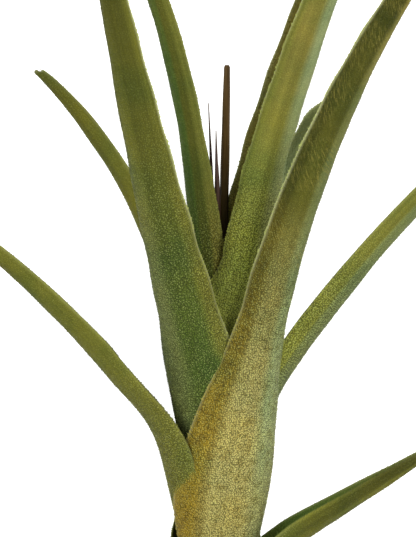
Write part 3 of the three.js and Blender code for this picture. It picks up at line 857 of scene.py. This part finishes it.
def skin_colour(nodes, leaf, gains):
    """A leaf's colour along it, across it and on its inner face, with blotches, streaks and tufts."""
    colours = leaf.colours
    middle, beside = leaf.band
    growth = nodes.attribute("growth", 1)
    share, across, inside = nodes.parts(growth)
    rows = {key: nodes.ramp(share, colours[key], 1.0) for key in ("left", "middle", "right", "inside")}
    to_left = nodes.spread(across, middle - BAND_HOLDS * beside, middle - beside)
    to_right = nodes.spread(across, middle + BAND_HOLDS * beside, middle + beside)
    outer = nodes.mix(to_left, rows["middle"], rows["left"])
    outer = nodes.mix(to_right, outer, rows["right"])
    skin = nodes.mix(inside, outer, rows["inside"])

    place = nodes.object_place()
    blotches = nodes.noise(place, BLOTCH_SCALE, 3.0)
    skin = nodes.mix(1.0, skin, nodes.ramp(blotches, BLOTCHES, 1.0), "MULTIPLY")
    streaks = nodes.noise(nodes.stretched(growth, STREAK_STRETCH), 1.0, 2.0)
    skin = nodes.mix(1.0, skin, nodes.ramp(streaks, STREAKS, 1.0), "MULTIPLY")
    clumps = nodes.ramp(nodes.noise(place, CLUMP_SCALE, 3.0), CLUMPS, CLUMP_GAIN)
    clumped = nodes.spread(share, *leaf.smooths, leaf.clumps, leaf.clumps * GRAIN_AT_TIP)
    skin = nodes.mix(clumped, skin, nodes.mix(1.0, skin, clumps, "MULTIPLY"))
    skin = nodes.mix(1.0, skin, nodes.spread(share, *leaf.smooths, *gains), "MULTIPLY")
    if leaf.combed:
        upper = nodes.spread(share, *COMB_STARTS, 0.0, leaf.combed)
        hairs = nodes.math("MULTIPLY", comb_lines(nodes, growth, leaf), upper)
        skin = nodes.mix(hairs, skin, linear(HAIR_COLOUR))
    return skin, share, place


def skin_material(name, leaf):
    nodes = Nodes(name)
    skin, share, place = skin_colour(nodes, leaf, SKIN_GAINS)
    cells = nodes.add(
        "ShaderNodeTexVoronoi", {"Vector": place, "Scale": GRAIN_SCALE, "Randomness": 1.0}, feature="F1"
    )
    pits = nodes.spread(cells, *PIT_EDGES)
    depth = nodes.spread(pits, 0.0, 1.0, GROUND_DEPTH, PIT_DEPTH)
    dark = nodes.math("MULTIPLY", depth, nodes.grain_left(share, leaf))
    skin = nodes.mix(dark, skin, PIT_COLOUR)
    edge = nodes.attribute("edge", 2)
    pale = nodes.spread(edge, 0.0, 1.0, 0.0, RIM_ON_SKIN)
    skin = nodes.mix(pale, skin, linear(PALE_MARGIN, RIM_GAIN))
    fine = nodes.noise(place, FINE_SCALE, 2.0)
    relief = nodes.math("SUBTRACT", fine, nodes.math("MULTIPLY", pits, PIT_RELIEF))
    bump = nodes.add("ShaderNodeBump", {"Height": relief, "Strength": 0.6, "Distance": 0.0001})
    roughness = nodes.spread(fine, 0.3, 0.7, 0.62, 0.85)
    return nodes.finish(
        {
            "Base Color": skin,
            "Roughness": roughness,
            "Normal": bump,
            "Specular IOR Level": 0.1,
        }
    )


def coat_material(name, leaf):
    """The scales' own colour: the skin's, lifted towards silver by a different share on each scale."""
    nodes = Nodes(name)
    skin, share, _ = skin_colour(nodes, leaf, SCALE_GAINS)
    tone = nodes.attribute("tone", 2)
    toned = nodes.spread(tone, 0.1, 1.0, 0.0, MOST_SILVER)
    silver = nodes.math("MULTIPLY", toned, nodes.grain_left(share, leaf))
    edge = nodes.attribute("edge", 2)
    silver = nodes.math("MAXIMUM", silver, nodes.spread(edge, 0.0, 1.0, 0.0, RIM_ON_SCALES))
    colour = nodes.mix(silver, skin, linear(SILVER, SCALE_SILVER_GAIN))
    roughness = nodes.spread(tone, 0.0, 1.0, 0.85, 0.6)
    return nodes.finish({"Base Color": colour, "Roughness": roughness, "Specular IOR Level": 0.1})


def bark_material():
    """The stem's bark: brown, ringed and fissured, with a paler, drier face at the cut."""
    nodes = Nodes("bark")
    share, _, from_axis = nodes.parts(nodes.attribute("growth", 1))
    place = nodes.object_place()
    fibres = nodes.noise(nodes.stretched(place, FIBRE_STRETCH), FIBRE_SCALE, 4.0)
    blotches = nodes.noise(place, BARK_BLOTCH_SCALE, 3.0)
    colour = nodes.ramp(fibres, BARK_COLOURS, DRY_GAIN)
    colour = nodes.mix(1.0, colour, nodes.ramp(blotches, BARK_TINTS, 1.0), "MULTIPLY")
    wood = nodes.ramp(from_axis, WOOD_COLOURS, DRY_GAIN)
    colour = nodes.mix(nodes.spread(share, CUT_FACE_SHARE, 0.0), colour, wood)
    bump = nodes.add("ShaderNodeBump", {"Height": fibres, "Strength": 0.8, "Distance": 0.0002})
    roughness = nodes.spread(fibres, 0.3, 0.7, 0.95, 0.8)
    return nodes.finish(
        {"Base Color": colour, "Roughness": roughness, "Normal": bump, "Specular IOR Level": 0.25}
    )


def dry_material(name, stops, ridges):
    """A brown dry stalk or rolled young leaf: its colour runs along it, broken by lengthwise lines."""
    nodes = Nodes(name)
    share, _, _ = nodes.parts(nodes.attribute("growth", 1))
    colour = nodes.ramp(share, stops, DRY_GAIN)
    lines = nodes.noise(nodes.stretched(nodes.object_place(), RIDGE_STRETCH), ridges, 3.0)
    colour = nodes.mix(1.0, colour, nodes.ramp(lines, RIDGE_TINTS, 1.0), "MULTIPLY")
    bump = nodes.add("ShaderNodeBump", {"Height": lines, "Strength": 0.7, "Distance": 0.00012})
    roughness = nodes.spread(lines, 0.3, 0.7, 0.85, 0.65)
    return nodes.finish(
        {"Base Color": colour, "Roughness": roughness, "Normal": bump, "Specular IOR Level": 0.12}
    )


def stem_shape():
    """The stem as it grew: round, with a groove at each old leaf's scar and lengthwise wrinkles."""
    scars = np.arange(SCAR_SPACING, STEM_TOP, SCAR_SPACING)
    heights = np.linspace(0, STEM_TOP, STEM_RINGS)

    def radius_at(share, turn):
        height = share * STEM_TOP
        slant = height + 0.5 * np.sin(turn + height / 9.0)
        nearest = np.abs(slant[..., None] - scars).min(axis=-1)
        groove = SCAR_GROOVE * np.exp(-((nearest / 0.55) ** 2))
        lip = 0.12 * np.exp(-(((nearest - 1.1) / 0.5) ** 2))
        wrinkles = 0.07 * np.sin(11 * turn + height / 3.1) * np.sin(5 * turn - height / 4.7)
        rounded = np.sqrt(np.clip(1 - (1 - np.clip(height / 0.5, 0, 1)) ** 2 * 0.25, 0, 1))
        return (stem_radius(height) - groove + lip + wrinkles) * rounded

    spine = np.stack([np.zeros(STEM_RINGS), heights, np.zeros(STEM_RINGS)], axis=-1)
    return rod_shape(spine, radius_at, STEM_SIDES)


def bent_spine(base, tip, bow, count):
    """Points from a base to a tip, bowed to the right by a little in the middle."""
    share = np.linspace(0, 1, count)[:, None]
    return mix(np.array(base), np.array(tip), share) + np.array([bow, 0, 0]) * np.sin(math.pi * share)


def spike_shape():
    """The dry spike: ribbed lengthwise, a little uneven, with a blunt broken end."""
    height = math.dist(SPIKE_BASE, SPIKE_TIP)

    def radius_at(share, turn):
        body = np.interp(share * height, SPIKE_RADIUS_HEIGHTS, SPIKE_RADII)
        ribs = 1 + 0.07 * np.sin(5 * turn + 2.2 * share) + 0.04 * np.sin(9 * turn - 14 * share)
        knots = 1 + 0.05 * np.sin(23 * share) * np.sin(7 * share + 1)
        end = np.sqrt(1 - np.clip((share - 0.993) / 0.007, 0, 0.75) ** 2)
        return body * ribs * knots * end

    return rod_shape(bent_spine(SPIKE_BASE, SPIKE_TIP, SPIKE_BOW, SPIKE_RINGS), radius_at, SPIKE_SIDES)


def needle_shape(young):
    """A young leaf still rolled up: a fine taper whose free margin winds round it as a low step."""
    length = math.dist(young["base"], young["tip"])

    def radius_at(share, turn):
        body = mix(NEEDLE_TIP_RADIUS, young["radius"], np.clip((1 - share) * length / young["point"], 0, 1))
        winding = (turn / (2 * math.pi) + 1.5 * share) % 1.0
        return body * (0.88 + 0.24 * winding)

    spine = bent_spine(young["base"], young["tip"], young["bow"], NEEDLE_RINGS)
    return rod_shape(spine, radius_at, NEEDLE_SIDES)


def add_floor():
    """A plain pale floor under the plant, in its own faint glow so that shadows on it stay soft."""
    mesh = bpy.data.meshes.new("floor")
    half = FLOOR_SIZE / 2
    corners = [(-half, -half), (half, -half), (half, half), (-half, half)]
    mesh.from_pydata([(x, y, -FLOOR_GAP * MM) for x, y in corners], [], [(0, 1, 2, 3)])
    nodes = Nodes("floor")
    grain = nodes.noise(nodes.object_place(), 40.0, 2.0)
    colour = nodes.ramp(grain, [(0.3, (246, 246, 246)), (0.7, (250, 250, 250))], 1.0)
    mesh.materials.append(
        nodes.finish(
            {
                "Base Color": colour,
                "Roughness": 0.9,
                "Emission Color": (1.0, 1.0, 1.0, 1.0),
                "Emission Strength": FLOOR_GLOW,
            }
        )
    )
    floor = bpy.data.objects.new("floor", mesh)
    bpy.context.scene.collection.objects.link(floor)


def add_camera():
    """The camera looks straight down on the lying plant, with the photograph's framing."""
    data = bpy.data.cameras.new("camera")
    data.sensor_width = SENSOR_WIDTH
    data.lens = SENSOR_WIDTH * CAMERA_DISTANCE / FRAME_HEIGHT
    camera = bpy.data.objects.new("camera", data)
    camera.location = PLANT_ORIGIN + np.array([*FRAME_CENTRE, CAMERA_DISTANCE]) * MM
    bpy.context.scene.collection.objects.link(camera)
    bpy.context.scene.camera = camera


def add_light(name, place, aim, size, power, colour):
    data = bpy.data.lights.new(name, "AREA")
    data.shape = "DISK"
    data.size = size
    data.energy = power
    data.color = colour
    light = bpy.data.objects.new(name, data)
    light.location = place
    direction = Vector(aim) - Vector(place)
    light.rotation_euler = direction.to_track_quat("-Z", "Y").to_euler()
    bpy.context.scene.collection.objects.link(light)


def add_lights():
    for name, place, aim, size, power, colour in LIGHTS:
        add_light(name, place, aim, size, power, colour)
    world = bpy.data.worlds.new("studio")
    world.use_nodes = True
    background = world.node_tree.nodes["Background"]
    background.inputs["Color"].default_value = WORLD_COLOUR
    background.inputs["Strength"].default_value = WORLD_STRENGTH
    bpy.context.scene.world = world
    bpy.context.scene.view_settings.view_transform = "Standard"


def add_leaves():
    for index, sizes in enumerate(LEAVES):
        leaf = Leaf(sizes, seed=index + 1)
        skin = skin_material(leaf.name + "_skin", leaf)
        coat = coat_material(leaf.name + "_coat", leaf)
        add_piece(leaf.name + "_skin", leaf_shape(leaf), skin, replaced=leaf.name)
        add_piece(leaf.name + "_scales", scale_shape(leaf), coat)


def add_heart():
    purple = dry_material("rolled_leaf", NEEDLE_COLOURS, NEEDLE_RIDGES)
    brown = dry_material("dry_spike", SPIKE_COLOURS, SPIKE_RIDGES)
    for young in YOUNG_LEAVES:
        name = young["name"]
        add_piece(name + "_rolled", needle_shape(young), purple, replaced=name)
    add_piece("dry_spike_ribbed", spike_shape(), brown, replaced="dry_spike")


add_camera()
add_lights()
add_floor()
add_piece("stem_bark", stem_shape(), bark_material(), replaced="stem")
add_leaves()
add_heart()
